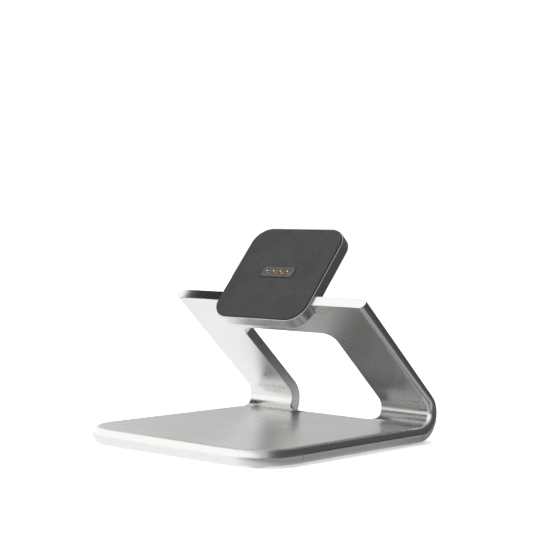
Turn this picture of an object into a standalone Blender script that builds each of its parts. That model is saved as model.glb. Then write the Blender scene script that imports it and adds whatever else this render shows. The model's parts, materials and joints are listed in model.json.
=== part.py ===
"""Contact-charging tablet stand: one bent aluminium plate with a flat base and a windowed arm.

Frame: metres, +X right, +Y back, +Z up, front faces -Y.  The origin is the middle of the
footprint, on the surface that the feet stand on.

The plate is drawn flat, with y as the distance along it, then bent: see bent().
"""
from math import cos, pi, radians, sin, tan

import bmesh
import bpy
from mathutils import Matrix, Vector

# ---------------------------------------------------------------- driving dimensions
GAP = 0.0003                        # clearance between touching pieces

WIDTH = 0.1670                      # overall width of the plate
EDGE_ROUND = 0.0044                 # how far the rounded rim bulges out
BASE_THICKNESS = 0.0107
ARM_THICKNESS = 0.0078
ARM_ANGLE = radians(40.6)          # arm above the horizontal, leaning forward
INNER_RADIUS = 0.009               # inside of the rear bend
BEND_RUN = 0.1701                   # front nose to the centre of the bend
ARM_STRAIGHT = 0.1032               # straight part of the arm, along its inner face
FRONT_CORNER = 0.0347               # plan radius of the base's front corners
FOOT_LIFT = 0.001                   # the feet hold the base this far off the table

WINDOW_HALF_WIDTH = 0.0403
WINDOW_CORNER = 0.0085
WINDOW_START = 0.424                # how far round the bend the window begins, radians
CROSSBAR = 0.031                    # window's top edge to the end of the arm

COVER_FRONT = 0.0397                # front nose to the front edge of the bottom cover
COVER_REAR_INSET = 0.0010           # rear edge of the cover, ahead of the bend
COVER_SIDE = 0.0063                 # height of the cover's side
COVER_FLOOR = 0.0016
COVER_RIM = 0.0123                  # width of the cover's side rims
COVER_END_RIM = 0.0035              # and of its front and rear rims
SKIN = 0.0022                       # top skin over the hollow of the base

FOOT_RADIUS = 0.007
FOOT_INSET = 0.021                  # centre of a foot, in from the front nose and the sides
FOOT_POCKET = 0.0008
SCREW_INSET = 0.0078                # cover screws, in from the sides
SCREW_END_INSET = 0.0065            # and in from the cover's ends
SCREW_BORE = 0.0015
SCREW_SHANK = 0.0012
HEAD_SCREW_BORE = 0.0017
COVER_NOSE = 0.002                  # round on the cover's front edge

BOARD_HALF_WIDTH = 0.022
BOARD_FRONT = 0.040                 # the board's edges, ahead of the bend's centre
BOARD_REAR = 0.0063
BOARD_LIFT = 0.0030                 # above the underside of the base
BOARD_THICKNESS = 0.0016
BOARD_TONGUE_HALF_WIDTH = 0.0053    # the part of the board that carries the socket
BOARD_TONGUE_END = 0.0030           # behind the bend's centre
SOCKET_MOUTH = 0.0049               # behind the bend's centre
SOCKET_HALF_WIDTH = 0.0045
SOCKET_HEIGHT = 0.0032
SOCKET_WALL = 0.00035
SOCKET_LENGTH = 0.0085

HEAD_SIZE = 0.080
HEAD_CORNER = 0.014
HEAD_RAISE = 0.021                  # centre of the head above the middle of the arm's thickness
HEAD_BACK = -0.0102                 # levels measured from the dock face, positive toward the tablet
HEAD_RIM = -0.0013
HEAD_WALL = 0.0018
ARM_END = -0.0025
NOTCH_FLOOR = HEAD_BACK - GAP
HEAD_SCREW_X = (-0.034, -0.011, 0.011, 0.034)
MAGNET_OFFSET = 0.022
CONTACT_PITCH = 0.006

CABLE_X = -0.064                    # the flat cable climbs the left leg
CABLE_Y = 0.0195                    # where it crosses the base, ahead of the bend
CABLE_WIDTH = 0.007
CHANNEL_WIDTH = 0.0092
CHANNEL_DEPTH = 0.0022              # below the back face of the arm
CHANNEL_LID = 0.0011
CABLE_DEPTH = (0.0015, 0.0019)

# ---------------------------------------------------------------- worked out from them
TOP_Z = FOOT_LIFT + BASE_THICKNESS
OUTER_RADIUS = INNER_RADIUS + tan(ARM_ANGLE / 2) * (
    BASE_THICKNESS / tan(ARM_ANGLE) + ARM_THICKNESS / sin(ARM_ANGLE))
FRONT_Y = -(BEND_RUN + OUTER_RADIUS) / 2
BEND_Y = FRONT_Y + BEND_RUN
SWEEP = pi - ARM_ANGLE
BEND_LENGTH = SWEEP * (INNER_RADIUS + BASE_THICKNESS / 2)
ARM_START = BEND_Y + BEND_LENGTH
ARM_STOP = ARM_START + ARM_STRAIGHT
BACK_SCALE = BASE_THICKNESS / ARM_THICKNESS     # flat depth of one unit of arm thickness
BEND_STEPS = 14
ALONG_ARM = Vector((0, -cos(ARM_ANGLE), sin(ARM_ANGLE)))
ARM_NORMAL = Vector((0, sin(ARM_ANGLE), cos(ARM_ANGLE)))


# ---------------------------------------------------------------- the bend
def faces_at(distance):
    """Inner and outer point of the plate at one distance along it."""
    if distance <= BEND_Y:
        return Vector((0, distance, TOP_Z)), Vector((0, distance, FOOT_LIFT))
    turn = min((distance - BEND_Y) / BEND_LENGTH, 1) * SWEEP
    outward = Vector((0, sin(turn), -cos(turn)))
    inner = Vector((0, BEND_Y, TOP_Z + INNER_RADIUS)) + outward * INNER_RADIUS
    outer = Vector((0, BEND_Y, FOOT_LIFT + OUTER_RADIUS)) + outward * OUTER_RADIUS
    if distance > ARM_START:
        run = distance - ARM_START
        lag = (inner - outer).dot(ALONG_ARM) / ARM_STRAIGHT
        inner = inner + ALONG_ARM * run
        outer = outer + ALONG_ARM * run * (1 + lag)
    return inner, outer


def bent(point):
    """Move a point of the flat plate to its place on the bent one."""
    inner, outer = faces_at(point.y)
    place = inner.lerp(outer, (TOP_Z - point.z) / BASE_THICKNESS)
    return Vector((point.x, place.y, place.z))


def bend_mesh(mesh):
    """Slice a flat mesh across the bend, then bend it."""
    bm = bmesh.new()
    bm.from_mesh(mesh)
    for step in range(BEND_STEPS + 1):
        bmesh.ops.bisect_plane(
            bm, geom=bm.verts[:] + bm.edges[:] + bm.faces[:], dist=1e-6,
            plane_co=(0, BEND_Y + BEND_LENGTH * step / BEND_STEPS, 0), plane_no=(0, 1, 0))
    bmesh.ops.triangulate(bm, faces=bm.faces[:])
    for vert in bm.verts:
        vert.co = bent(vert.co)
    bm.to_mesh(mesh)
    bm.free()


# ---------------------------------------------------------------- tools
def material(name, colour, roughness, metallic):
    made = bpy.data.materials.new(name)
    made.use_nodes = True
    shader = made.node_tree.nodes["Principled BSDF"]
    shader.inputs["Base Color"].default_value = (*colour, 1)
    shader.inputs["Roughness"].default_value = roughness
    shader.inputs["Metallic"].default_value = metallic
    made.diffuse_color = (*colour, 1)
    return made


def piece(name, mesh, look, parent=None, location=(0, 0, 0)):
    """A named object; curved faces are shaded smooth."""
    mesh.shade_smooth()
    mesh.set_sharp_from_angle(angle=radians(30))
    made = bpy.data.objects.new(name, mesh)
    bpy.context.scene.collection.objects.link(made)
    if look:
        mesh.materials.clear()
        mesh.materials.append(look)
    made.parent = parent
    made.location = location
    return made


def cutter(mesh):
    made = piece("cutter", mesh, None)
    made.hide_render = True
    made.display_type = "WIRE"
    return made


def combine(flat, others, operation="DIFFERENCE"):
    """Boolean the other meshes with a mesh, and return the result as a mesh."""
    base = cutter(flat)
    tools = [cutter(other) for other in others]
    for tool in tools:
        modifier = base.modifiers.new("combine", "BOOLEAN")
        modifier.operation = operation
        modifier.solver = "EXACT"
        modifier.object = tool
    graph = bpy.context.evaluated_depsgraph_get()
    result = bpy.data.meshes.new_from_object(base.evaluated_get(graph))
    for spent in [base] + tools:
        bpy.data.objects.remove(spent)
    return result


def loft(rings):
    """Close a stack of outlines that have the same number of points."""
    bm = bmesh.new()
    made = [[bm.verts.new(point) for point in ring] for ring in rings]
    count = len(made[0])
    for lower, upper in zip(made, made[1:]):
        for index in range(count):
            after = (index + 1) % count
            bm.faces.new((lower[index], lower[after], upper[after], upper[index]))
    bm.faces.new(reversed(made[0]))
    bm.faces.new(made[-1])
    bmesh.ops.recalc_face_normals(bm, faces=bm.faces[:])
    mesh = bpy.data.meshes.new("loft")
    bm.to_mesh(mesh)
    bm.free()
    return mesh


def prism(outline, low, high):
    return loft([[(x, y, z) for x, y in outline] for z in (low, high)])


def turned(profile, steps=24, centre=(0, 0)):
    """Stack circles of (radius, height) along Z."""
    angles = [2 * pi * step / steps for step in range(steps)]
    return loft([[(centre[0] + radius * cos(angle), centre[1] + radius * sin(angle), height)
                  for angle in angles] for radius, height in profile])


def arc(centre, radius, start, stop, steps):
    return [(centre[0] + radius * cos(start + (stop - start) * step / steps),
             centre[1] + radius * sin(start + (stop - start) * step / steps))
            for step in range(steps + 1)]


def rounded_box(left, right, front, back, radius, steps=6):
    """Outline of a rectangle with round corners, anticlockwise."""
    corners = ((right, front, 1, -1), (right, back, 1, 1), (left, back, -1, 1), (left, front, -1, -1))
    points = []
    for quarter, (x, y, side, end) in enumerate(corners):
        start = (quarter - 1) * pi / 2
        points += arc((x - side * radius, y - end * radius), radius, start, start + pi / 2, steps)
    return points


def box(left, right, front, back, low, high):
    return prism([(left, front), (right, front), (right, back), (left, back)], low, high)


def ribbon(path, width):
    """Outline of a strip along a path of right-angle turns."""
    sides = ([], [])
    for index, point in enumerate(path):
        here = Vector(point)
        ways = []
        if index:
            ways.append((here - Vector(path[index - 1])).normalized())
        if index < len(path) - 1:
            ways.append((Vector(path[index + 1]) - here).normalized())
        normals = {(round(-way.y, 6), round(way.x, 6)) for way in ways}
        shift = sum((Vector(normal) for normal in normals), Vector((0, 0))) * width / 2
        sides[0].append(tuple(here - shift))
        sides[1].append(tuple(here + shift))
    return sides[0] + sides[1][::-1]


def across(profile):
    """A (y, z) profile as a solid across the whole width and more."""
    reach = WIDTH
    return loft([[(x, y, z) for y, z in profile] for x in (-reach, reach)])


# ---------------------------------------------------------------- the plate and its cover
def plate():
    """Flat plate with a rounded rim at its front and sides, and a square arm end."""
    rings = []
    steps = 8
    for step in range(steps + 1):
        turn = pi * step / steps
        inset = EDGE_ROUND * (1 - sin(turn))
        side = WIDTH / 2 - inset
        front = FRONT_Y + inset
        radius = FRONT_CORNER - inset
        outline = [(-side, ARM_STOP)]
        outline += arc((-side + radius, front + radius), radius, pi, pi * 1.5, 12)
        outline += arc((side - radius, front + radius), radius, pi * 1.5, pi * 2, 12)
        outline += [(side, ARM_STOP)]
        height = FOOT_LIFT + BASE_THICKNESS * (1 - cos(turn)) / 2
        rings.append([(x, y, height) for x, y in outline])
    return loft(rings)


def cover_zone(grow):
    """The stretch of the plate's lower half that the bottom cover fills."""
    front = FRONT_Y + COVER_FRONT - grow
    rear = BEND_Y - COVER_REAR_INSET + grow
    top = FOOT_LIFT + COVER_SIDE + grow
    nose = COVER_NOSE + grow
    profile = [(rear, -0.01), (rear, top)]
    profile += arc((front + nose, top - nose), nose, pi / 2, pi, 5)
    profile += [(front, -0.01)]
    return across(profile)


def cover_screw_places():
    front = FRONT_Y + COVER_FRONT + SCREW_END_INSET
    rear = BEND_Y - COVER_REAR_INSET - SCREW_END_INSET
    side = WIDTH / 2 - SCREW_INSET
    return [(x, y) for y in (front, (front + rear) / 2, rear) for x in (-side, side)]


def foot_places():
    side = WIDTH / 2 - FOOT_INSET
    return {"front_left": (-side, FRONT_Y + FOOT_INSET), "front_right": (side, FRONT_Y + FOOT_INSET),
            "rear_left": (-side, BEND_Y - FOOT_INSET), "rear_right": (side, BEND_Y - FOOT_INSET)}


def foot_pocket(place):
    return turned([(FOOT_RADIUS + GAP, -0.001), (FOOT_RADIUS + GAP, FOOT_LIFT + FOOT_POCKET)], 32, place)


def hollow(margin):
    """Outline of the room inside the base."""
    side = WIDTH / 2 - COVER_RIM - margin
    return rounded_box(-side, side, FRONT_Y + COVER_FRONT + COVER_END_RIM + margin,
                       BEND_Y - COVER_REAR_INSET - COVER_END_RIM - margin, 0.004, 4)


def cable_path(start_x, stop):
    """From the power board across the base, up the left leg and in to the middle of the crossbar."""
    return [(start_x, BEND_Y - CABLE_Y), (CABLE_X, BEND_Y - CABLE_Y),
            (CABLE_X, ARM_STOP - CROSSBAR / 2 - 0.005), (0, ARM_STOP - CROSSBAR / 2 - 0.005), (0, stop)]


def back_level(depth):
    """Flat height of a level measured in from the back face of the arm."""
    return FOOT_LIFT + depth * BACK_SCALE


def make_body(look):
    notch = -NOTCH_FLOOR + ARM_END
    half_head = HEAD_SIZE / 2 + GAP
    channel = cable_path(CABLE_X, ARM_STOP + 0.01)[1:]
    channel[0] = (CABLE_X, BEND_Y - COVER_REAR_INSET - 0.001)
    window = rounded_box(-WINDOW_HALF_WIDTH, WINDOW_HALF_WIDTH,
                         BEND_Y + BEND_LENGTH * WINDOW_START / SWEEP, ARM_STOP - CROSSBAR, WINDOW_CORNER)
    cuts = [
        prism(window, -0.01, 0.03),
        box(-half_head, half_head, ARM_STOP - notch, ARM_STOP + 0.01, -0.01, 0.03),
        cover_zone(GAP),
        prism(hollow(0), -0.01, TOP_Z - SKIN),
        prism(ribbon(channel, CHANNEL_WIDTH), -0.01, back_level(CHANNEL_DEPTH)),
    ]
    for place in cover_screw_places():
        cuts.append(turned([(SCREW_BORE, 0), (SCREW_BORE, FOOT_LIFT + 0.008)], 20, place))
    for name, place in foot_places().items():
        if name.startswith("front"):
            cuts.append(foot_pocket(place))
    middle = FOOT_LIFT + BASE_THICKNESS / 2
    for x in HEAD_SCREW_X:
        bore = turned([(HEAD_SCREW_BORE, 0), (HEAD_SCREW_BORE, 0.012)], 20)
        stretch = Matrix.Diagonal((1, 1, BACK_SCALE, 1))
        stretch = Matrix.Translation((x, ARM_STOP - notch - 0.010, middle)) @ stretch
        bore.transform(stretch @ Matrix.Rotation(-pi / 2, 4, "X"))
        cuts.append(bore)
    mesh = combine(plate(), cuts)
    bend_mesh(mesh)
    socket_room = [
        box(-0.0056, 0.0056, BEND_Y - 0.008, BEND_Y + 0.0033, FOOT_LIFT + 0.0026, TOP_Z - 0.0021),
        box(-0.0048, 0.0048, BEND_Y, BEND_Y + 0.03, FOOT_LIFT + 0.0046, TOP_Z - 0.0023),
    ]
    piece("stand_body", combine(mesh, socket_room), look)


def make_cover(look):
    mesh = combine(plate(), [cover_zone(0)], "INTERSECT")
    cuts = [
        prism(hollow(0), FOOT_LIFT + COVER_FLOOR, 0.03),
        box(CABLE_X - CHANNEL_WIDTH / 2, CABLE_X + CHANNEL_WIDTH / 2,
            BEND_Y - 0.008, BEND_Y, FOOT_LIFT + COVER_FLOOR, 0.03),
        box(-0.0068, 0.0068, BEND_Y - 0.008, BEND_Y, FOOT_LIFT + 0.0026, 0.03),
    ]
    for place in cover_screw_places():
        cuts.append(turned([(2 * SCREW_BORE, FOOT_LIFT - 0.0003), (SCREW_BORE, FOOT_LIFT + 0.0012),
                            (SCREW_BORE, FOOT_LIFT + 0.008)], 20, place))
    for name, place in foot_places().items():
        if name.startswith("rear"):
            cuts.append(foot_pocket(place))
    piece("bottom_cover", combine(mesh, cuts), look)


def make_feet(look):
    top = FOOT_LIFT + FOOT_POCKET - GAP
    for name, place in foot_places().items():
        profile = [(FOOT_RADIUS - 0.0004, 0), (FOOT_RADIUS, 0.0004), (FOOT_RADIUS, top)]
        piece(f"foot_{name}", turned(profile, 32), look, location=(*place, 0))


def make_cover_screws(look):
    profile = [(0.0025, 0), (SCREW_SHANK, 0.0013), (SCREW_SHANK, 0.0065)]
    for number, place in enumerate(cover_screw_places(), 1):
        screw = combine(turned(profile, 20), [turned([(0.0008, -0.001), (0.0008, 0.0007)], 6)])
        piece(f"cover_screw_{number}", screw, look, location=(*place, FOOT_LIFT + 0.0002))


# ---------------------------------------------------------------- inside the base
def make_ballast(look):
    low = FOOT_LIFT + COVER_FLOOR + GAP
    high = TOP_Z - SKIN - GAP
    side = WIDTH / 2 - COVER_RIM - 0.001
    front = FRONT_Y + COVER_FRONT + COVER_END_RIM + 0.001
    for name, left, right in (("left", -side, -0.026), ("right", 0.026, side)):
        outline = rounded_box(left, right, front, BEND_Y - 0.029, 0.003, 3)
        piece(f"ballast_plate_{name}", prism(outline, low, high), look)


def make_power(board, chip, steel, plastic):
    """Power board with its converter parts and the power socket in the base's rear edge."""
    low = FOOT_LIFT + BOARD_LIFT
    top = low + BOARD_THICKNESS
    front, rear, end = BEND_Y - BOARD_FRONT, BEND_Y - BOARD_REAR, BEND_Y + BOARD_TONGUE_END
    wide, narrow = BOARD_HALF_WIDTH, BOARD_TONGUE_HALF_WIDTH
    outline = [(-wide, front), (wide, front), (wide, rear), (narrow, rear),
               (narrow, end), (-narrow, end), (-narrow, rear), (-wide, rear)]
    piece("power_board", prism(outline, low, top), board)
    coil = rounded_box(-0.018, -0.008, BEND_Y - 0.036, BEND_Y - 0.026, 0.0015, 3)
    piece("power_inductor", prism(coil, top + GAP, top + 0.0032), chip)
    piece("power_chip", box(0.004, 0.011, BEND_Y - 0.034, BEND_Y - 0.027, top + GAP, top + 0.0015), plastic)

    floor = top + GAP
    height = SOCKET_HEIGHT
    mouth = BEND_Y + SOCKET_MOUTH
    shell = rounded_box(-SOCKET_HALF_WIDTH, SOCKET_HALF_WIDTH, 0, height, 0.0013, 4)
    inside = SOCKET_HALF_WIDTH - SOCKET_WALL
    room = rounded_box(-inside, inside, SOCKET_WALL, height - SOCKET_WALL, 0.001, 4)
    turn = Matrix.Translation((0, mouth, floor)) @ Matrix.Rotation(pi / 2, 4, "X")
    outer = prism(shell, 0, SOCKET_LENGTH)
    inner = prism(room, -0.001, SOCKET_LENGTH - 0.0007)
    mesh = combine(outer, [inner])
    mesh.transform(turn)
    piece("power_socket_shell", mesh, steel)
    tongue = rounded_box(-0.0033, 0.0033, mouth - 0.0075, mouth - 0.0008, 0.0004, 2)
    middle = floor + height / 2
    piece("power_socket_tongue", prism(tongue, middle - 0.00035, middle + 0.00035), plastic)


# ---------------------------------------------------------------- up the arm
def make_cable(look):
    stop = ARM_STOP - ARM_END + HEAD_BACK + 0.003
    mesh = prism(ribbon(cable_path(-0.016, stop), CABLE_WIDTH),
                 back_level(CABLE_DEPTH[0]), back_level(CABLE_DEPTH[1]))
    bend_mesh(mesh)
    piece("dock_cable", mesh, look)


def make_channel_cover(look):
    path = cable_path(CABLE_X, ARM_STOP + NOTCH_FLOOR - ARM_END)[1:]
    path[0] = (CABLE_X, BEND_Y - COVER_REAR_INSET + 0.0006)
    mesh = prism(ribbon(path, CHANNEL_WIDTH - 2 * GAP), FOOT_LIFT, back_level(CHANNEL_LID))
    bend_mesh(mesh)
    piece("channel_cover", mesh, look)


# ---------------------------------------------------------------- the dock head
def head_frame():
    """Empty at the middle of the dock face: local Z points at the tablet, local Y up its back."""
    corner = Vector((0, BEND_Y + INNER_RADIUS / tan(ARM_ANGLE / 2), TOP_Z))
    reach = INNER_RADIUS / tan(ARM_ANGLE / 2) + ARM_STRAIGHT - ARM_END
    frame = bpy.data.objects.new("head_frame", None)
    bpy.context.scene.collection.objects.link(frame)
    frame.location = corner + ALONG_ARM * reach + ARM_NORMAL * (ARM_THICKNESS / 2 + HEAD_RAISE)
    frame.rotation_euler = (pi / 2 - ARM_ANGLE, 0, 0)
    return frame


def square(half, radius, steps=6):
    return rounded_box(-half, half, -half, half, radius, steps)


def contact_slot(grow, low, high):
    return prism(rounded_box(-0.014 - grow, 0.014 + grow, -0.0045 - grow, 0.0045 + grow, 0.002, 4),
                 low, high)


def make_head_shell(frame, aluminium, plastic, rubber):
    half = HEAD_SIZE / 2
    floor = HEAD_BACK + HEAD_WALL
    inside = half - 0.002
    cuts = [prism(square(inside, HEAD_CORNER - 0.002), floor, 0.01),
            box(-0.0042, 0.0042, -HEAD_RAISE + 0.001, -HEAD_RAISE + 0.0042, HEAD_BACK - 0.001, 0)]
    for x in HEAD_SCREW_X:
        cuts.append(turned([(HEAD_SCREW_BORE, -0.02), (HEAD_SCREW_BORE, 0)], 20, (x, -HEAD_RAISE)))
    shell = combine(prism(square(half, HEAD_CORNER), HEAD_BACK, HEAD_RIM), cuts)
    piece("head_housing", shell, aluminium, frame)
    face = prism(square(inside - GAP, HEAD_CORNER - 0.0023), HEAD_RIM - 0.0019, HEAD_RIM)
    piece("head_face_plate", combine(face, [contact_slot(GAP, -0.01, 0.01)]), plastic, frame)
    pad = prism(square(half - 0.0005, HEAD_CORNER - 0.0005), HEAD_RIM + GAP, 0)
    piece("dock_pad", combine(pad, [contact_slot(GAP, -0.01, 0.01)]), rubber, frame)


def make_head_screws(frame, look):
    under_head = HEAD_BACK + HEAD_WALL + GAP
    profile = [(0.0014, under_head - 0.009), (0.0014, under_head), (0.00275, under_head),
               (0.00275, under_head + 0.002)]
    for number, x in enumerate(HEAD_SCREW_X, 1):
        recess = turned([(0.0012, under_head + 0.0008), (0.0012, under_head + 0.004)], 6)
        piece(f"head_screw_{number}", combine(turned(profile, 20), [recess]), look, frame,
              (x, -HEAD_RAISE, 0))


def make_magnets(frame, steel, magnet):
    low = HEAD_BACK + HEAD_WALL + GAP
    high = low + 0.0012
    cuts = [rounded_box(-0.018, 0.018, -0.007, 0.007, 0.001, 2),
            rounded_box(-0.005, 0.005, -0.0225, -0.004, 0.001, 2)]
    cuts = [prism(outline, -0.02, 0.01) for outline in cuts]
    for x in HEAD_SCREW_X:
        cuts.append(turned([(0.0034, -0.02), (0.0034, 0.01)], 20, (x, -HEAD_RAISE)))
    piece("magnet_keeper", combine(prism(square(0.037, 0.011), low, high), cuts), steel, frame)
    disc = [(0.0067, high + GAP), (0.007, high + GAP + 0.0003), (0.007, HEAD_RIM - 0.0025),
            (0.0067, HEAD_RIM - 0.0022)]
    signs = ((-1, -1), (1, -1), (-1, 1), (1, 1))
    for number, (side, level) in enumerate(signs, 1):
        piece(f"magnet_{number}", turned(disc, 32), magnet, frame,
              (side * MAGNET_OFFSET, level * MAGNET_OFFSET, 0))


def make_contacts(frame, board, plastic, brass, gold):
    """Board, insulating block, and four spring contacts that slide along local Z."""
    low = HEAD_BACK + HEAD_WALL + 0.0005
    outline = [(-0.016, -0.006), (-0.004, -0.006), (-0.004, -0.0179), (0.004, -0.0179),
               (0.004, -0.006), (0.016, -0.006), (0.016, 0.006), (-0.016, 0.006)]
    piece("contact_board", prism(outline, low, low + 0.001), board, frame)
    bottom = low + 0.001 + GAP
    places = [(index - 1.5) * CONTACT_PITCH for index in range(4)]
    holes = [turned([(0.00165, bottom + 0.0004), (0.00165, 0.01)], 20, (x, 0)) for x in places]
    piece("contact_block", combine(contact_slot(0, bottom, 0.0004), holes), plastic, frame)
    barrel = bottom + 0.0007
    for number, x in enumerate(places, 1):
        sleeve = combine(turned([(0.00135, barrel), (0.00135, 0.0001)]),
                         [turned([(0.00105, barrel + 0.0004), (0.00105, 0.001)])])
        piece(f"contact_barrel_{number}", sleeve, brass, frame, (x, 0, 0))
        tip = 0.0016
        pin = [(0.00075, -tip - 0.004), (0.00075, -0.00045), (0.0006, -0.00018), (0.0003, 0)]
        piece(f"contact_pin_{number}", turned(pin), gold, frame, (x, 0, tip))


def build():
    for old in list(bpy.data.objects):
        bpy.data.objects.remove(old)
    aluminium = material("satin_aluminium", (0.62, 0.62, 0.61), 0.32, 1)
    cover = material("satin_aluminium_cover", (0.60, 0.60, 0.59), 0.34, 1)
    rubber = material("black_rubber", (0.03, 0.03, 0.03), 0.8, 0)
    steel = material("zinc_steel", (0.55, 0.56, 0.57), 0.35, 1)
    screws = material("black_screw_steel", (0.12, 0.12, 0.13), 0.4, 1)
    board = material("green_board", (0.02, 0.16, 0.07), 0.5, 0)
    plastic = material("black_plastic", (0.04, 0.04, 0.045), 0.5, 0)
    ferrite = material("ferrite", (0.1, 0.1, 0.1), 0.6, 0)
    polyimide = material("amber_flat_cable", (0.55, 0.27, 0.05), 0.35, 0)
    magnet = material("nickel_magnet", (0.75, 0.73, 0.68), 0.18, 1)
    gold = material("gold_contact", (0.95, 0.72, 0.32), 0.2, 1)

    make_body(aluminium)
    make_cover(cover)
    make_feet(rubber)
    make_cover_screws(screws)
    make_ballast(steel)
    make_power(board, ferrite, steel, plastic)
    make_cable(polyimide)
    make_channel_cover(cover)
    frame = head_frame()
    make_head_shell(frame, aluminium, plastic, rubber)
    make_head_screws(frame, screws)
    make_magnets(frame, steel, magnet)
    make_contacts(frame, board, plastic, gold, gold)


build()
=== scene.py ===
"""Looks of the tablet stand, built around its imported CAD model.

The bent plate, its cover and the dock head are made again with fine rims and rounded edges, in
the places and sizes of the CAD nodes that they replace.
"""
import json
from math import atan2, cos, pi, radians, sin, sqrt, tan

import bmesh
import bpy
from mathutils import Matrix, Vector


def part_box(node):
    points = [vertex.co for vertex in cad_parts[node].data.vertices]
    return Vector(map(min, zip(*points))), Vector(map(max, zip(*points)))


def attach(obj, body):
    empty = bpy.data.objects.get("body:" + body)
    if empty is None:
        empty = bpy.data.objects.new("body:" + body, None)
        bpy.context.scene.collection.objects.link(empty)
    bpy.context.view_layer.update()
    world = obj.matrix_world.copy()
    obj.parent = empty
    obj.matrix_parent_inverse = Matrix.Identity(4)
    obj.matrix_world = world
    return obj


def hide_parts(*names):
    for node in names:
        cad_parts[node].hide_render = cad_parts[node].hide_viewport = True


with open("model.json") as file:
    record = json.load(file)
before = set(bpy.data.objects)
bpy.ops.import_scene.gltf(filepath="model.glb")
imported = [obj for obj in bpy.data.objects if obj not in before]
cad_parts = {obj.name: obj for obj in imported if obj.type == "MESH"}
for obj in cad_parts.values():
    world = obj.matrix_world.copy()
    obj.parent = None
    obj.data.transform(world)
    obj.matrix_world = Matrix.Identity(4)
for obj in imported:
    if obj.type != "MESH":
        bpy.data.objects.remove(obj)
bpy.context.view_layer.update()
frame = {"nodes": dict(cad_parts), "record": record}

# ---------------------------------------------------------------- sizes, as in the CAD
GAP = 0.0003                        # clearance between touching pieces
EDGE_ROUND = 0.0044                 # how far the rounded rim bulges out
BASE_THICKNESS = 0.0107
ARM_THICKNESS = 0.0078
INNER_RADIUS = 0.009
BEND_RUN = 0.1701
ARM_STRAIGHT = 0.1032
FRONT_CORNER = 0.0347
WINDOW_HALF_WIDTH = 0.0403
WINDOW_CORNER = 0.0085
WINDOW_START = 0.424
CROSSBAR = 0.031
COVER_FRONT = 0.0397
COVER_REAR_INSET = 0.0010
COVER_SIDE = 0.0063
COVER_FLOOR = 0.0016
COVER_RIM = 0.0123
COVER_END_RIM = 0.0035
COVER_NOSE = 0.002
SKIN = 0.0022
FOOT_POCKET = 0.0008
FOOT_RADIUS = 0.007
SCREW_BORE = 0.0015
SCREW_SHANK = 0.0012
HEAD_SCREW_BORE = 0.0017
SOCKET_CORNER = 0.0013
SOCKET_WALL = 0.00035
SOCKET_ROOM_LIFT = 0.0026           # above the underside of the base
HEAD_SIZE = 0.080
HEAD_CORNER = 0.014
HEAD_RAISE = 0.021
HEAD_BACK = -0.0102                 # levels from the dock face, positive toward the tablet
HEAD_RIM = -0.0013
HEAD_WALL = 0.0018
HEAD_LINING = 0.002                 # side wall of the head's housing
HEAD_SOFT = 0.0015                  # rounding of the head's rear edge
CONTACT_PITCH = 0.006
BLOCK_HALF = (0.014, 0.0045)        # the contact block, along X and up the dock face
BLOCK_CORNER = 0.002
PIN_RADIUS = 0.00075
PIN_TIP = 0.0016                    # above the dock face
PIN_FOOT = -0.004
ARM_END = -0.0025
NOTCH_FLOOR = HEAD_BACK - GAP
CABLE_X = -0.064
CHANNEL_WIDTH = 0.0092
CHANNEL_DEPTH = 0.0022
CHANNEL_LID = 0.0011
CUT_BELOW = -0.01                   # levels below and above the flat plate, where cutters end
CUT_ABOVE = 0.03

# ---------------------------------------------------------------- read from the frame
BODY_LOW, BODY_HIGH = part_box("stand_body")
COVER_LOW, COVER_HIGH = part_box("bottom_cover")
MOUNTS = {mount["name"]: mount for mount in frame["record"]["mounts"]}
WIDTH = BODY_HIGH.x - BODY_LOW.x
FRONT_Y = BODY_LOW.y
FOOT_LIFT = BODY_LOW.z
DOCK_AXIS = Vector(MOUNTS["dock_face"]["axis"])
DOCK_CENTRE = Vector((0, *MOUNTS["dock_face"]["pos_m"][1:]))
ARM_ANGLE = atan2(DOCK_AXIS.z, -DOCK_AXIS.y)
HEAD_PLACE = Matrix.Translation(DOCK_CENTRE) @ Matrix.Rotation(pi / 2 - ARM_ANGLE, 4, "X")

TOP_Z = FOOT_LIFT + BASE_THICKNESS
OUTER_RADIUS = INNER_RADIUS + tan(ARM_ANGLE / 2) * (
    BASE_THICKNESS / tan(ARM_ANGLE) + ARM_THICKNESS / sin(ARM_ANGLE))
BEND_Y = FRONT_Y + BEND_RUN
SWEEP = pi - ARM_ANGLE
BEND_LENGTH = SWEEP * (INNER_RADIUS + BASE_THICKNESS / 2)
ARM_START = BEND_Y + BEND_LENGTH
ARM_STOP = ARM_START + ARM_STRAIGHT
BACK_SCALE = BASE_THICKNESS / ARM_THICKNESS
ALONG_ARM = Vector((0, -cos(ARM_ANGLE), sin(ARM_ANGLE)))

# ---------------------------------------------------------------- fineness of the visible meshes
RIM_STEPS = 24
CORNER_STEPS = 28
BEND_STEPS = 48
EDGE_SOFT = 0.0006                  # rounding of the window's and the arm end's edges
SOFT_STEPS = 5
SHARP_ANGLE = radians(35)

# ---------------------------------------------------------------- camera
CAMERA_PLACE = (0.6181, -0.7185, 0.1395)
CAMERA_YAW = radians(40.49)         # turned to the left of +Y
CAMERA_PITCH = radians(1.23)        # looking down
CAMERA_ROLL = radians(1.07)
LENS = 94.84
SENSOR = 36.0


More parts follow.
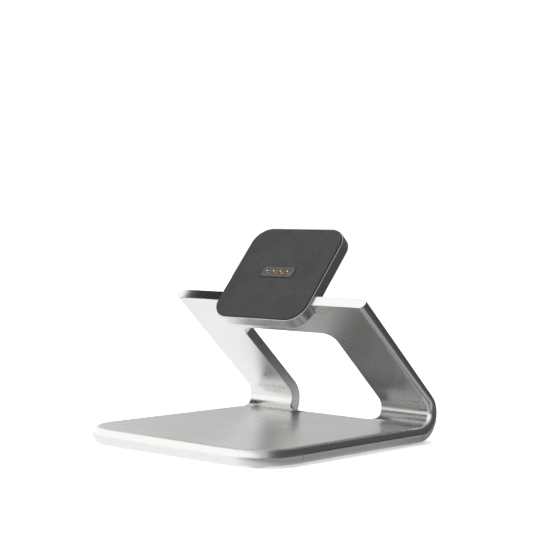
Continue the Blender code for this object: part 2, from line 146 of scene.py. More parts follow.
def make_camera():
    forward = Vector((-sin(CAMERA_YAW) * cos(CAMERA_PITCH), cos(CAMERA_YAW) * cos(CAMERA_PITCH),
                      -sin(CAMERA_PITCH)))
    level = Vector((cos(CAMERA_YAW), sin(CAMERA_YAW), 0))
    above = level.cross(forward)
    right = level * cos(CAMERA_ROLL) + above * sin(CAMERA_ROLL)
    up = above * cos(CAMERA_ROLL) - level * sin(CAMERA_ROLL)
    camera = bpy.data.objects.new("camera", bpy.data.cameras.new("camera"))
    bpy.context.scene.collection.objects.link(camera)
    camera.data.lens = LENS
    camera.data.sensor_width = SENSOR
    turn = Matrix((right, up, -forward)).transposed().to_4x4()
    camera.matrix_world = Matrix.Translation(CAMERA_PLACE) @ turn
    bpy.context.scene.camera = camera


# ---------------------------------------------------------------- materials
class Look:
    """A Principled material and the few node chains that the looks here share."""

    def __init__(self, name, colour, roughness, metallic=0.0, **inputs):
        self.material = bpy.data.materials.new(name)
        self.material.use_nodes = True
        self.tree = self.material.node_tree
        self.shader = self.tree.nodes["Principled BSDF"]
        self.shader.inputs["Base Color"].default_value = (*colour, 1)
        self.shader.inputs["Roughness"].default_value = roughness
        self.shader.inputs["Metallic"].default_value = metallic
        for socket, value in inputs.items():
            self.shader.inputs[socket.replace("_", " ")].default_value = value
        self.place = self.tree.nodes.new("ShaderNodeTexCoord").outputs["Object"]

    def node(self, kind, **inputs):
        made = self.tree.nodes.new(kind)
        for socket, value in inputs.items():
            self.feed(made.inputs[socket.replace("_", " ")], value)
        return made

    def feed(self, socket, value):
        if isinstance(value, bpy.types.NodeSocket):
            self.tree.links.new(value, socket)
        else:
            socket.default_value = value

    def noise(self, scale, detail=3.0, roughness=0.55):
        made = self.node("ShaderNodeTexNoise", Vector=self.place, Scale=scale, Detail=detail,
                         Roughness=roughness)
        return made.outputs["Fac"]

    def spread(self, value, low, high, start=0.3, stop=0.7):
        made = self.node("ShaderNodeMapRange", Value=value, From_Min=start, From_Max=stop,
                         To_Min=low, To_Max=high)
        return made.outputs["Result"]

    def ramp(self, value, stops):
        made = self.node("ShaderNodeValToRGB", Fac=value)
        elements = made.color_ramp.elements
        while len(elements) < len(stops):
            elements.new(0.5)
        for element, (position, colour) in zip(elements, stops):
            element.position = position
            element.color = (*colour, 1)
        return made.outputs["Color"]

    def bump(self, height, strength, distance):
        made = self.node("ShaderNodeBump", Height=height, Strength=strength, Distance=distance)
        self.feed(self.shader.inputs["Normal"], made.outputs["Normal"])

    def colour(self, value):
        self.feed(self.shader.inputs["Base Color"], value)

    def rough(self, value):
        self.feed(self.shader.inputs["Roughness"], value)


def satin_aluminium(name, tint, roughness):
    """Bead-blasted and clear anodised: fine sparkle, soft clouds in the polish."""
    look = Look(name, tint, roughness, 1.0)
    grain = look.noise(2600, 2.0)
    dark = tuple(channel * 0.955 for channel in tint)
    light = tuple(min(channel * 1.035, 1) for channel in tint)
    look.colour(look.ramp(grain, ((0.32, dark), (0.5, tint), (0.68, light))))
    clouds = look.noise(22, 4.0)
    look.rough(look.spread(clouds, roughness - 0.02, roughness + 0.03))
    look.bump(look.noise(4300, 4.0, 0.7), 0.05, 0.00003)
    return look.material


def soft_rubber(name, tint):
    look = Look(name, tint, 0.72, 0.0, Specular_IOR_Level=0.35)
    specks = look.noise(900, 3.0)
    dusty = tuple(channel * 1.5 + 0.006 for channel in tint)
    look.colour(look.ramp(specks, ((0.35, tint), (0.75, dusty))))
    look.rough(look.spread(look.noise(60, 4.0), 0.62, 0.8))
    look.bump(look.noise(2400, 4.0, 0.65), 0.35, 0.00005)
    return look.material


def moulded_plastic(name, tint):
    look = Look(name, tint, 0.45, 0.0)
    grain = look.node("ShaderNodeTexVoronoi", Vector=look.place, Scale=2300.0).outputs["Distance"]
    look.colour(look.ramp(look.noise(500, 3.0), ((0.3, tint), (0.8, tuple(c * 1.3 + 0.004 for c in tint)))))
    look.rough(look.spread(look.noise(80, 3.0), 0.4, 0.52))
    look.bump(grain, 0.3, 0.00004)
    return look.material


def plated_steel(name, tint, roughness):
    look = Look(name, tint, roughness, 1.0)
    look.colour(look.ramp(look.noise(700, 5.0), ((0.3, tuple(c * 0.86 for c in tint)), (0.7, tint))))
    look.rough(look.spread(look.noise(240, 5.0), roughness - 0.06, roughness + 0.08))
    look.bump(look.noise(1500, 4.0), 0.15, 0.00003)
    return look.material


def circuit_board(name):
    """Green solder mask over copper tracks."""
    look = Look(name, (0.02, 0.16, 0.07), 0.4, 0.0)
    tracks = look.node("ShaderNodeTexBrick", Vector=look.place, Scale=420.0, Mortar_Size=0.03)
    mask, copper = (0.012, 0.12, 0.05), (0.04, 0.24, 0.1)
    look.feed(tracks.inputs["Color1"], (*mask, 1))
    look.feed(tracks.inputs["Color2"], (*mask, 1))
    look.feed(tracks.inputs["Mortar"], (*copper, 1))
    look.colour(tracks.outputs["Color"])
    look.rough(look.spread(look.noise(300, 3.0), 0.32, 0.5))
    look.bump(tracks.outputs["Fac"], 0.4, 0.00004)
    return look.material


def flat_cable(name):
    """Amber film with copper tracks showing through along the strip."""
    look = Look(name, (0.55, 0.27, 0.05), 0.35, 0.0)
    bands = look.node("ShaderNodeTexWave", Vector=look.place, Scale=300.0).outputs["Fac"]
    look.colour(look.ramp(bands, ((0.35, (0.32, 0.13, 0.02)), (0.65, (0.6, 0.3, 0.07)))))
    look.rough(look.spread(look.noise(200, 3.0), 0.28, 0.42))
    look.bump(bands, 0.2, 0.00003)
    return look.material


def make_looks():
    return {
        "satin_aluminium": satin_aluminium("satin_aluminium", (0.74, 0.74, 0.735), 0.27),
        "satin_aluminium_cover": satin_aluminium("satin_aluminium_cover", (0.73, 0.73, 0.725), 0.29),
        "black_rubber": soft_rubber("black_rubber", (0.022, 0.022, 0.023)),
        "zinc_steel": plated_steel("zinc_steel", (0.62, 0.63, 0.64), 0.32),
        "black_screw_steel": plated_steel("black_screw_steel", (0.09, 0.09, 0.095), 0.36),
        "green_board": circuit_board("green_board"),
        "amber_flat_cable": flat_cable("amber_flat_cable"),
        "nickel_magnet": plated_steel("nickel_magnet", (0.78, 0.76, 0.71), 0.2),
        "gold_contact": plated_steel("gold_contact", (0.95, 0.70, 0.30), 0.2),
        "ferrite": moulded_plastic("ferrite", (0.07, 0.07, 0.075)),
        "black_plastic": moulded_plastic("black_plastic", (0.03, 0.03, 0.033)),
    }


# ---------------------------------------------------------------- the bend
def faces_at(distance):
    """Inner and outer point of the plate at one distance along it."""
    if distance <= BEND_Y:
        return Vector((0, distance, TOP_Z)), Vector((0, distance, FOOT_LIFT))
    turn = min((distance - BEND_Y) / BEND_LENGTH, 1) * SWEEP
    outward = Vector((0, sin(turn), -cos(turn)))
    inner = Vector((0, BEND_Y, TOP_Z + INNER_RADIUS)) + outward * INNER_RADIUS
    outer = Vector((0, BEND_Y, FOOT_LIFT + OUTER_RADIUS)) + outward * OUTER_RADIUS
    if distance > ARM_START:
        run = distance - ARM_START
        lag = (inner - outer).dot(ALONG_ARM) / ARM_STRAIGHT
        inner = inner + ALONG_ARM * run
        outer = outer + ALONG_ARM * run * (1 + lag)
    return inner, outer


def bent(point):
    inner, outer = faces_at(point.y)
    place = inner.lerp(outer, (TOP_Z - point.z) / BASE_THICKNESS)
    return Vector((point.x, place.y, place.z))


def bend_mesh(mesh):
    """Slice a flat mesh across the bend, then bend it."""
    bm = bmesh.new()
    bm.from_mesh(mesh)
    for step in range(BEND_STEPS + 1):
        bmesh.ops.bisect_plane(
            bm, geom=bm.verts[:] + bm.edges[:] + bm.faces[:], dist=1e-6,
            plane_co=(0, BEND_Y + BEND_LENGTH * step / BEND_STEPS, 0), plane_no=(0, 1, 0))
    bmesh.ops.triangulate(bm, faces=bm.faces[:])
    for vert in bm.verts:
        vert.co = bent(vert.co)
    bm.to_mesh(mesh)
    bm.free()


# ---------------------------------------------------------------- tools
def new_object(name, data):
    made = bpy.data.objects.new(name, data)
    bpy.context.scene.collection.objects.link(made)
    return made


def combine(mesh, others, operation="DIFFERENCE"):
    """Boolean the other meshes with a mesh, and return the result as a mesh."""
    base = new_object("base", mesh)
    tools = [new_object("tool", other) for other in others]
    for tool in tools:
        modifier = base.modifiers.new("combine", "BOOLEAN")
        modifier.operation = operation
        modifier.solver = "EXACT"
        modifier.object = tool
    graph = bpy.context.evaluated_depsgraph_get()
    result = bpy.data.meshes.new_from_object(base.evaluated_get(graph))
    for spent in [base] + tools:
        bpy.data.objects.remove(spent)
    return result


def show(name, mesh, look, stands_for, body="stand"):
    """A finished piece: smooth shading with the flat faces kept flat, riding on its body."""
    mesh.shade_smooth()
    mesh.set_sharp_from_angle(angle=SHARP_ANGLE)
    mesh.materials.clear()
    mesh.materials.append(LOOKS[look])
    made = new_object(name, mesh)
    normals = made.modifiers.new("normals", "WEIGHTED_NORMAL")
    normals.keep_sharp = True
    normals.weight = 100
    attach(made, body)
    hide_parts(stands_for)


def loft(rings):
    """Close a stack of outlines that have the same number of points."""
    bm = bmesh.new()
    made = [[bm.verts.new(point) for point in ring] for ring in rings]
    count = len(made[0])
    for lower, upper in zip(made, made[1:]):
        for index in range(count):
            after = (index + 1) % count
            bm.faces.new((lower[index], lower[after], upper[after], upper[index]))
    bm.faces.new(reversed(made[0]))
    bm.faces.new(made[-1])
    bmesh.ops.recalc_face_normals(bm, faces=bm.faces[:])
    mesh = bpy.data.meshes.new("loft")
    bm.to_mesh(mesh)
    bm.free()
    return mesh


def level(outline, height):
    return [(x, y, height) for x, y in outline]


def prism(outline, low, high):
    return loft([level(outline, low), level(outline, high)])


def turned(profile, steps=48, centre=(0, 0)):
    """Stack circles of (radius, height) along Z."""
    angles = [2 * pi * step / steps for step in range(steps)]
    return loft([[(centre[0] + radius * cos(angle), centre[1] + radius * sin(angle), height)
                  for angle in angles] for radius, height in profile])


def arc(centre, radius, start, stop, steps):
    return [(centre[0] + radius * cos(start + (stop - start) * step / steps),
             centre[1] + radius * sin(start + (stop - start) * step / steps))
            for step in range(steps + 1)]


def rounded_box(left, right, front, back, radius, steps=12):
    """Outline of a rectangle with round corners, anticlockwise."""
    corners = ((right, front, 1, -1), (right, back, 1, 1), (left, back, -1, 1), (left, front, -1, -1))
    points = []
    for quarter, (x, y, side, end) in enumerate(corners):
        start = (quarter - 1) * pi / 2
        points += arc((x - side * radius, y - end * radius), radius, start, start + pi / 2, steps)
    return points


def box(left, right, front, back, low, high):
    return prism([(left, front), (right, front), (right, back), (left, back)], low, high)


def ribbon(path, width):
    """Outline of a strip along a path of right-angle turns."""
    sides = ([], [])
    for index, point in enumerate(path):
        here = Vector(point)
        ways = []
        if index:
            ways.append((here - Vector(path[index - 1])).normalized())
        if index < len(path) - 1:
            ways.append((Vector(path[index + 1]) - here).normalized())
        normals = {(round(-way.y, 6), round(way.x, 6)) for way in ways}
        shift = sum((Vector(normal) for normal in normals), Vector((0, 0))) * width / 2
        sides[0].append(tuple(here - shift))
        sides[1].append(tuple(here + shift))
    return sides[0] + sides[1][::-1]


def quarter(radius, steps=SOFT_STEPS):
    """(inset, depth) pairs of a rounded edge, from the face to the wall."""
    return [(radius * (1 - sin(pi / 2 * step / steps)), radius * (1 - cos(pi / 2 * step / steps)))
            for step in range(steps + 1)]


# ---------------------------------------------------------------- the plate and its cover
def end_inset(depth):
    """How far the arm's end face falls back near the top and bottom faces, to soften its edges."""
    near = min(depth, BASE_THICKNESS - depth)
    soft = EDGE_SOFT * BACK_SCALE
    if near >= soft:
        return 0
    return EDGE_SOFT * (1 - sqrt(1 - (1 - near / soft) ** 2))


def plate():
    """Flat plate with a rounded rim at its front and sides, and a square arm end."""
    rings = []
    for step in range(RIM_STEPS + 1):
        turn = pi * step / RIM_STEPS
        inset = EDGE_ROUND * (1 - sin(turn))
        depth = BASE_THICKNESS * (1 + cos(turn)) / 2
        side = WIDTH / 2 - inset
        front = FRONT_Y + inset
        radius = FRONT_CORNER - inset
        stop = ARM_STOP - end_inset(depth)
        outline = [(-side, stop)]
        outline += arc((-side + radius, front + radius), radius, pi, pi * 1.5, CORNER_STEPS)
        outline += arc((side - radius, front + radius), radius, pi * 1.5, pi * 2, CORNER_STEPS)
        outline += [(side, stop)]
        rings.append(level(outline, TOP_Z - depth))
    return loft(rings)


def flared_hole(left, right, front, back, radius):
    """Cutter for an opening through the plate whose two edges come out rounded."""
    rings = [(EDGE_SOFT, FOOT_LIFT + CUT_BELOW)]
    rings += [(inset, FOOT_LIFT + depth) for inset, depth in quarter(EDGE_SOFT)]
    rings += [(grow, TOP_Z + FOOT_LIFT - height) for grow, height in rings[::-1]]
    return loft([level(rounded_box(left - grow, right + grow, front - grow, back + grow,
                                   radius + grow), height) for grow, height in rings])


def cover_zone(grow):
    """The stretch of the plate's lower half that the bottom cover fills."""
    front = FRONT_Y + COVER_FRONT - grow
    rear = BEND_Y - COVER_REAR_INSET + grow
    top = FOOT_LIFT + COVER_SIDE + grow
    nose = COVER_NOSE + grow
    profile = [(rear, CUT_BELOW), (rear, top)]
    profile += arc((front + nose, top - nose), nose, pi / 2, pi, 10)
    profile += [(front, CUT_BELOW)]
    return loft([[(x, y, z) for y, z in profile] for x in (-WIDTH, WIDTH)])


def places(prefix):
    """Centre of each CAD node whose name starts with the prefix, at its lowest level."""
    found = {}
    for name in sorted(frame["nodes"]):
        if name.startswith(prefix):
            low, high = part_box(name)
            found[name] = Vector(((low.x + high.x) / 2, (low.y + high.y) / 2, low.z))
    return found


def foot_pocket(place):
    radius = FOOT_RADIUS + GAP
    return turned([(radius, -0.001), (radius, FOOT_LIFT + FOOT_POCKET)], 64, place)


def hollow():
    side = WIDTH / 2 - COVER_RIM
    return rounded_box(-side, side, FRONT_Y + COVER_FRONT + COVER_END_RIM,
                       BEND_Y - COVER_REAR_INSET - COVER_END_RIM, 0.004, 8)


def channel_path(start, stop):
    across = ARM_STOP - CROSSBAR / 2 - 0.005
    return [(CABLE_X, start), (CABLE_X, across), (0, across), (0, stop)]


def back_level(depth):
    return FOOT_LIFT + depth * BACK_SCALE


def make_body():
    notch = -NOTCH_FLOOR + ARM_END
    half_head = HEAD_SIZE / 2 + GAP
    channel = channel_path(BEND_Y - COVER_REAR_INSET - 0.001, ARM_STOP + 0.01)
    cuts = [
        flared_hole(-WINDOW_HALF_WIDTH, WINDOW_HALF_WIDTH,
                    BEND_Y + BEND_LENGTH * WINDOW_START / SWEEP, ARM_STOP - CROSSBAR, WINDOW_CORNER),
        box(-half_head, half_head, ARM_STOP - notch, ARM_STOP + 0.01, CUT_BELOW, CUT_ABOVE),
        cover_zone(GAP),
        prism(hollow(), CUT_BELOW, TOP_Z - SKIN),
        prism(ribbon(channel, CHANNEL_WIDTH), CUT_BELOW, back_level(CHANNEL_DEPTH)),
    ]
    for place in places("cover_screw_").values():
        cuts.append(turned([(SCREW_BORE, 0), (SCREW_BORE, FOOT_LIFT + 0.008)], 32, place))
    for place in places("foot_front").values():
        cuts.append(foot_pocket(place))
    mesh = combine(plate(), cuts)
    bend_mesh(mesh)
    socket_room = [
        box(-0.0056, 0.0056, BEND_Y - 0.008, BEND_Y + 0.0033,
            FOOT_LIFT + SOCKET_ROOM_LIFT, TOP_Z - 0.0021),
        prism(rounded_box(-0.0048, 0.0048, FOOT_LIFT + 0.0046, TOP_Z - 0.0023, 0.0016, 8), 0, CUT_ABOVE),
    ]
    socket_room[1].transform(Matrix.Translation((0, BEND_Y + 0.03, 0)) @ Matrix.Rotation(pi / 2, 4, "X"))
    show("stand_body_fine", combine(mesh, socket_room), "satin_aluminium", "stand_body")


def make_cover():
    mesh = combine(plate(), [cover_zone(0)], "INTERSECT")
    floor = FOOT_LIFT + COVER_FLOOR
    cuts = [
        prism(hollow(), floor, CUT_ABOVE),
        box(CABLE_X - CHANNEL_WIDTH / 2, CABLE_X + CHANNEL_WIDTH / 2,
            BEND_Y - 0.008, BEND_Y, floor, CUT_ABOVE),
        box(-0.0068, 0.0068, BEND_Y - 0.008, BEND_Y, FOOT_LIFT + SOCKET_ROOM_LIFT, CUT_ABOVE),
    ]
    for place in places("cover_screw_").values():
        cuts.append(turned([(0.0032, FOOT_LIFT - 0.0005), (0.0030, FOOT_LIFT - 0.0003),
                            (SCREW_BORE, FOOT_LIFT + 0.0012), (SCREW_BORE, FOOT_LIFT + 0.008)],
                           48, place))
    for place in places("foot_rear").values():
        cuts.append(foot_pocket(place))
    show("bottom_cover_fine", combine(mesh, cuts), "satin_aluminium_cover", "bottom_cover")


def make_feet():
    """Rubber discs with a rounded tread edge and a shallow dished ring underneath."""
    top = FOOT_LIFT + FOOT_POCKET - GAP
    radius = FOOT_RADIUS
    profile = [(0.0022, 0.00025), (0.0026, 0.0001), (0.0030, 0), (radius - 0.0006, 0)]
    profile += [(radius - inset, depth) for inset, depth in quarter(0.0005)]
    profile += [(radius, top - 0.0001), (radius - 0.0001, top)]
    for name, place in places("foot_").items():
        mesh = turned(profile, 64)
        mesh.transform(Matrix.Translation((place.x, place.y, 0)))
        show(f"{name}_fine", mesh, "black_rubber", name)


def six_lobes(radius, depth, steps=8):
    """Outline of a screw's drive recess with six lobes."""
    count = 6 * steps
    points = []
    for step in range(count):
        angle = 2 * pi * step / count
        reach = radius * (1 + depth * cos(6 * angle))
        points.append((reach * cos(angle), reach * sin(angle)))
    return points


def make_cover_screws():
    profile = [(0.00235, 0), (0.0025, 0.00012), (0.0025, 0.0002), (0.0013, 0.00138)]
    height = profile[-1][1]
    while height < 0.0062:                       # thread, as a stack of shallow ridges
        profile += [(SCREW_SHANK, height + 0.0001), (0.00105, height + 0.00022),
                    (SCREW_SHANK, height + 0.00034)]
        height += 0.0004
    profile += [(SCREW_SHANK, 0.0063), (0.0010, 0.0065)]
    for name, place in places("cover_screw_").items():
        mesh = combine(turned(profile, 48), [prism(six_lobes(0.00072, 0.16), -0.001, 0.0008)])
        mesh.transform(Matrix.Translation((place.x, place.y, FOOT_LIFT + 0.0002)))
        show(f"{name}_fine", mesh, "black_screw_steel", name)


def make_socket():
    """Rolled steel shell of the power socket, with its flared mouth edge."""
    low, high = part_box("power_socket_shell")
    wall = SOCKET_WALL
    depth = high.y - low.y
    height = high.z - low.z

    def ring(inset, at):
        outline = rounded_box(low.x + inset, high.x - inset, inset, height - inset,
                              SOCKET_CORNER - min(inset, SOCKET_CORNER - 0.0004), 12)
        return level(outline, at)

    outer = loft([ring(0.0001, 0), ring(0, 0.0001), ring(0, depth)])
    inner = loft([ring(wall - 0.0001, -0.001), ring(wall - 0.0001, 0), ring(wall, 0.00012),
                  ring(wall, depth - 0.0007)])
    mesh = combine(outer, [inner])
    mesh.transform(Matrix.Translation((0, high.y, low.z)) @ Matrix.Rotation(pi / 2, 4, "X"))
    show("power_socket_shell_fine", mesh, "zinc_steel", "power_socket_shell")


def make_channel_cover():
    path = channel_path(0, ARM_STOP + NOTCH_FLOOR - ARM_END)
    path[0] = (CABLE_X, BEND_Y - COVER_REAR_INSET + 0.0006)
    width = CHANNEL_WIDTH - 2 * GAP
    rings = [level(ribbon(path, width - 2 * inset), FOOT_LIFT + depth)
             for inset, depth in quarter(0.0003)]
    rings.append(level(ribbon(path, width), back_level(CHANNEL_LID)))
    mesh = loft(rings)
    bend_mesh(mesh)
    show("channel_cover_fine", mesh, "satin_aluminium_cover", "channel_cover")


# ---------------------------------------------------------------- the dock head
def soft_block(half_x, half_y, radius, low, high, soft_low, soft_high):
    """Upright block with round corners and rounded lower and upper edges."""
    rings = []
    for inset, depth in quarter(soft_low):
        rings.append((inset, low + depth))
    rings += [(inset, high - depth) for inset, depth in quarter(soft_high)[::-1]]
    return loft([level(rounded_box(-half_x + inset, half_x - inset, -half_y + inset, half_y - inset,
                                   radius - inset, 16), height) for inset, height in rings])


def slot_cutter(low, edge):
    """Cutter for the contact block's opening, flared where it meets the face."""
    half_x, half_y = BLOCK_HALF[0] + GAP, BLOCK_HALF[1] + GAP
    soft = 0.0003
    rings = [(0, low), (0, edge - soft)] + [(inset, edge - depth) for inset, depth in quarter(soft)[::-1]]
    rings.append((soft, edge + 0.001))
    return loft([level(rounded_box(-half_x - grow, half_x + grow, -half_y - grow, half_y + grow,
                                   BLOCK_CORNER + grow, 10), height) for grow, height in rings])


def head_screw_places():
    return [(place.x, -HEAD_RAISE) for place in places("head_screw_").values()]


def make_head():
    half = HEAD_SIZE / 2
    floor = HEAD_BACK + HEAD_WALL
    inside = half - HEAD_LINING
    cuts = [soft_block(inside, inside, HEAD_CORNER - HEAD_LINING, floor, 0.01, 0.0004, 0.0004),
            box(-0.0042, 0.0042, -HEAD_RAISE + 0.001, -HEAD_RAISE + 0.0042, HEAD_BACK - 0.001, 0)]
    for place in head_screw_places():
        cuts.append(turned([(HEAD_SCREW_BORE, -0.02), (HEAD_SCREW_BORE, 0)], 32, place))
    shell = combine(soft_block(half, half, HEAD_CORNER, HEAD_BACK, HEAD_RIM, HEAD_SOFT, 0.0005), cuts)
    shell.transform(HEAD_PLACE)
    show("head_housing_fine", shell, "satin_aluminium", "head_housing")

    edge = half - 0.0005
    pad = combine(soft_block(edge, edge, HEAD_CORNER - 0.0005, HEAD_RIM + GAP, 0, 0.0001, 0.0007),
                  [slot_cutter(-0.01, 0)])
    pad.transform(HEAD_PLACE)
    show("dock_pad_fine", pad, "black_rubber", "dock_pad")


def make_contacts():
    """Insulating block with flared holes, brass sleeves, and domed gold pins."""
    bottom = HEAD_BACK + HEAD_WALL + 0.0015 + GAP
    face = 0.0004
    spots = [(index - 1.5) * CONTACT_PITCH for index in range(4)]
    holes = [turned([(0.00165, bottom + 0.0004), (0.00165, face - 0.00025), (0.0018, face - 0.0001),
                     (0.0020, face + 0.0001), (0.0020, 0.01)], 48, (x, 0)) for x in spots]
    block = combine(soft_block(*BLOCK_HALF, BLOCK_CORNER, bottom, face, 0.0001, 0.0003), holes)
    block.transform(HEAD_PLACE)
    show("contact_block_fine", block, "black_plastic", "contact_block")

    barrel = bottom + 0.0007
    lip = 0.0001
    dome = [pi / 2 * step / 8 for step in range(1, 9)]
    for number, x in enumerate(spots, 1):
        sleeve = combine(turned([(0.00135, barrel), (0.00135, lip - 0.0001), (0.00125, lip)], 48, (x, 0)),
                         [turned([(0.00105, barrel + 0.0004), (0.00105, lip - 0.0001), (0.00115, lip),
                                  (0.00115, 0.001)], 48, (x, 0))])
        sleeve.transform(HEAD_PLACE)
        show(f"contact_barrel_{number}_fine", sleeve, "gold_contact", f"contact_barrel_{number}")
        profile = [(PIN_RADIUS - 0.0001, PIN_FOOT), (PIN_RADIUS, PIN_FOOT + 0.0001),
                   (PIN_RADIUS, PIN_TIP - PIN_RADIUS)]
        profile += [(PIN_RADIUS * cos(turn) + 0.00002, PIN_TIP - PIN_RADIUS * (1 - sin(turn)))
                    for turn in dome]
        pin = turned(profile, 48, (x, 0))
        pin.transform(HEAD_PLACE)
        show(f"contact_pin_{number}_fine", pin, "gold_contact", f"contact_pin_{number}",
             f"contact_{number}")


# ---------------------------------------------------------------- studio
# Shares of the surround's light, by how far a direction turns toward the dark side: 0 away, 1 toward.
DARK_WAY = Vector((cos(radians(50)), sin(radians(50)), 0.09)).normalized()
SURROUND_LIGHT = ((0.38, 1.0), (0.48, 0.76), (0.56, 0.49), (0.64, 0.48), (0.71, 0.10), (0.82, 0.07))
SURROUND_TINT = (1, 0.995, 0.985)
SURROUND_STRENGTH = 1.29

# Painted reflection of the floor, by X: painted light in front of the stand and painted shade on its right.
PAINTED_FLOOR_SHADES = ((-0.10, 0.95), (0.060, 0.95), (0.084, 0.28), (0.098, 0.26), (0.106, 0.48),
                  (0.116, 0.48), (0.128, 0.12), (0.150, 0.08))
PAINTED_FLOOR_FADE = (0.15, 0.6, 1.2, 0.72)     # from, to, and the strength at each, out from the origin: painted fall-off of the floor reflection
PAINTED_SHADOW_CENTRE = (0.01, 0.105, 0)            # middle of the painted shadow in the floor reflection behind the base
PAINTED_SHADOW_FADE = (0.03, 0.10, 0.1, 1)
FLOOR_REACH = 3.0
FLOOR_GLOW = 0.35
BACKDROP_GLOW = 1.05
OVERHEAD_STRENGTH = 2.2
OVERHEAD_SPREAD = radians(100)
OVERHEAD_TILT = radians(8)

# A dark card in the plane of the dock face, about as wide as a docked tablet, with the dock left free: a
# painted dark reflection standing in for a docked tablet.
CARD_OUTLINE = ((-0.085, -0.100), (0.05, -0.100), (0.05, -0.048), (-0.046, -0.048), (-0.046, 0.36),
                (-0.36, 0.36), (-0.36, 0.0), (-0.085, 0.0))
CARD_GAP = 0.006
CARD_GLOW = 0.01


def graded(tree, value, start, stop, stops, tint=(1, 1, 1)):
    """Colour ramp over a value that runs from start to stop; the stops are at shares of that run."""
    share = tree.nodes.new("ShaderNodeMapRange")
    share.inputs["From Min"].default_value = start
    share.inputs["From Max"].default_value = stop
    tree.links.new(value, share.inputs["Value"])
    made = tree.nodes.new("ShaderNodeValToRGB")
    elements = made.color_ramp.elements
    while len(elements) < len(stops):
        elements.new(0.5)
    for element, (position, shade) in zip(elements, stops):
        element.position = position
        element.color = (*(shade * channel for channel in tint), 1)
    tree.links.new(share.outputs["Result"], made.inputs["Fac"])
    return made


def make_world():
    """A bright surround with one soft dark side, on the stand's right and rear."""
    world = bpy.data.worlds.new("studio")
    bpy.context.scene.world = world
    world.use_nodes = True
    tree = world.node_tree
    toward = tree.nodes.new("ShaderNodeVectorMath")
    toward.operation = "DOT_PRODUCT"
    tree.links.new(tree.nodes.new("ShaderNodeTexCoord").outputs["Generated"], toward.inputs[0])
    toward.inputs[1].default_value = DARK_WAY
    light = graded(tree, toward.outputs["Value"], -1, 1, SURROUND_LIGHT, SURROUND_TINT)
    light.color_ramp.interpolation = "EASE"
    background = tree.nodes["Background"]
    tree.links.new(light.outputs["Color"], background.inputs["Color"])
    background.inputs["Strength"].default_value = SURROUND_STRENGTH


def glow(name, colour, strength):
    material = bpy.data.materials.new(name)
    material.use_nodes = True
    tree = material.node_tree
    tree.nodes.clear()
    emit = tree.nodes.new("ShaderNodeEmission")
    emit.inputs["Color"].default_value = (*colour, 1)
    emit.inputs["Strength"].default_value = strength
    out = tree.nodes.new("ShaderNodeOutputMaterial")
    tree.links.new(emit.outputs[0], out.inputs["Surface"])
    return material


def painted_floor_reflection():
    """A painted reflection of the floor, seen only by the metal: painted light in front, painted shade on
    the stand's right and behind it.
    """
    material = glow("floor_painted_reflection", (1, 1, 1), 1)
    tree = material.node_tree
    emit = tree.nodes["Emission"]
    place = tree.nodes.new("ShaderNodeTexCoord").outputs["Object"]
    split = tree.nodes.new("ShaderNodeSeparateXYZ")
    tree.links.new(place, split.inputs[0])
    # painted light and shade of the floor reflection, graded by X
    start, stop = PAINTED_FLOOR_SHADES[0][0], PAINTED_FLOOR_SHADES[-1][0]
    stops = [((x - start) / (stop - start), shade) for x, shade in PAINTED_FLOOR_SHADES]
    light = graded(tree, split.outputs["X"], start, stop, stops)
    tree.links.new(light.outputs["Color"], emit.inputs["Color"])

    def fade(centre, near, far, low, high):
        reach = tree.nodes.new("ShaderNodeVectorMath")
        reach.operation = "DISTANCE"
        tree.links.new(place, reach.inputs[0])
        reach.inputs[1].default_value = centre
        made = tree.nodes.new("ShaderNodeMapRange")
        for name, value in (("From Min", near), ("From Max", far), ("To Min", low), ("To Max", high)):
            made.inputs[name].default_value = value
        tree.links.new(reach.outputs["Value"], made.inputs["Value"])
        return made.outputs["Result"]

    # painted shadow behind the base, multiplied into the painted floor reflection
    both = tree.nodes.new("ShaderNodeMath")
    both.operation = "MULTIPLY"
    tree.links.new(fade((0, 0, 0), *PAINTED_FLOOR_FADE), both.inputs[0])
    tree.links.new(fade(PAINTED_SHADOW_CENTRE, *PAINTED_SHADOW_FADE), both.inputs[1])
    tree.links.new(both.outputs["Value"], emit.inputs["Strength"])
    return material


def seen_only_by(thing, camera=False, glossy=False):
    thing.visible_camera = camera
    thing.visible_glossy = glossy
    thing.visible_diffuse = thing.visible_transmission = False
    thing.visible_volume_scatter = thing.visible_shadow = False


def stage_piece(name, mesh, material):
    mesh.materials.clear()
    mesh.materials.append(material)
    made = new_object(name, mesh)
    return made


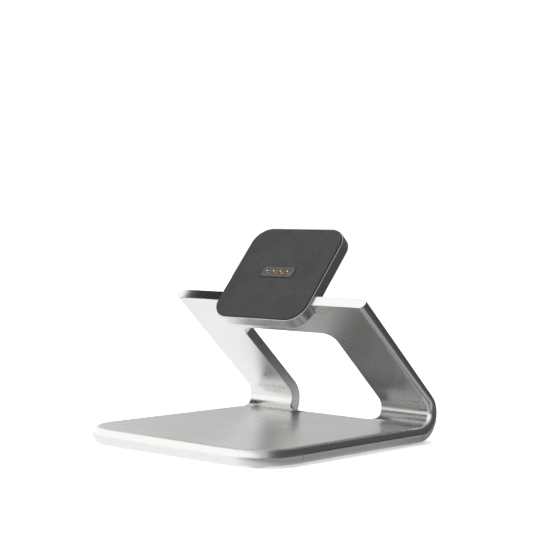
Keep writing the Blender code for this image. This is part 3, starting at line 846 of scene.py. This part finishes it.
def make_floor():
    """A pale floor for the camera, and just above it a painted floor reflection that only the metal sees.
    """
    reach = FLOOR_REACH
    mesh = bpy.data.meshes.new("floor")
    mesh.from_pydata([(-reach, -reach, 0), (reach, -reach, 0), (reach, reach, 0), (-reach, reach, 0)],
                     [], [(0, 1, 2, 3)])
    paper = Look("floor_paper", (0.9, 0.9, 0.9), 0.7, Emission_Color=(1, 1, 1, 1),
                 Emission_Strength=FLOOR_GLOW)
    paper.bump(paper.noise(300, 3.0), 0.02, 0.0002)
    stage_piece("floor", mesh, paper.material).visible_glossy = False

    # glowing plane of painted floor reflection, seen only by glossy rays
    mirrored = stage_piece("floor_painted_reflection", mesh.copy(), painted_floor_reflection())
    mirrored.location.z = 0.0001
    seen_only_by(mirrored, glossy=True)


def make_backdrop():
    bm = bmesh.new()
    bmesh.ops.create_icosphere(bm, subdivisions=4, radius=FLOOR_REACH * 1.3)
    mesh = bpy.data.meshes.new("backdrop")
    bm.to_mesh(mesh)
    bm.free()
    backdrop = stage_piece("backdrop", mesh, glow("backdrop_white", (1, 1, 1), BACKDROP_GLOW))
    seen_only_by(backdrop, camera=True)


def make_card():
    """Seen only in reflections: the bend, the arm and the base under the arm mirror it as a painted dark
    reflection.
    """
    mesh = bpy.data.meshes.new("card")
    mesh.from_pydata([HEAD_PLACE @ Vector((x, y, CARD_GAP)) for x, y in CARD_OUTLINE], [],
                     [tuple(range(len(CARD_OUTLINE)))])
    # near-black glow: a painted dark reflection on the metal
    seen_only_by(stage_piece("card", mesh, glow("card_painted_dark_reflection", (1, 1, 1), CARD_GLOW)), glossy=True)


def make_studio():
    bpy.context.scene.view_settings.view_transform = "Standard"
    make_world()
    make_floor()
    make_backdrop()
    make_card()
    lamp = new_object("overhead", bpy.data.lights.new("overhead", "SUN"))
    lamp.data.energy = OVERHEAD_STRENGTH
    lamp.data.angle = OVERHEAD_SPREAD
    lamp.rotation_euler = (OVERHEAD_TILT, -OVERHEAD_TILT, 0)
    lamp.visible_glossy = False


LOOKS = make_looks()
make_camera()
for entry in frame["record"]["subparts"]:
    node = frame["nodes"][entry["node"]]
    node.data.materials.clear()
    node.data.materials.append(LOOKS[entry["material_slot"]])
make_body()
make_cover()
make_feet()
make_cover_screws()
make_socket()
make_channel_cover()
make_head()
make_contacts()
make_studio()
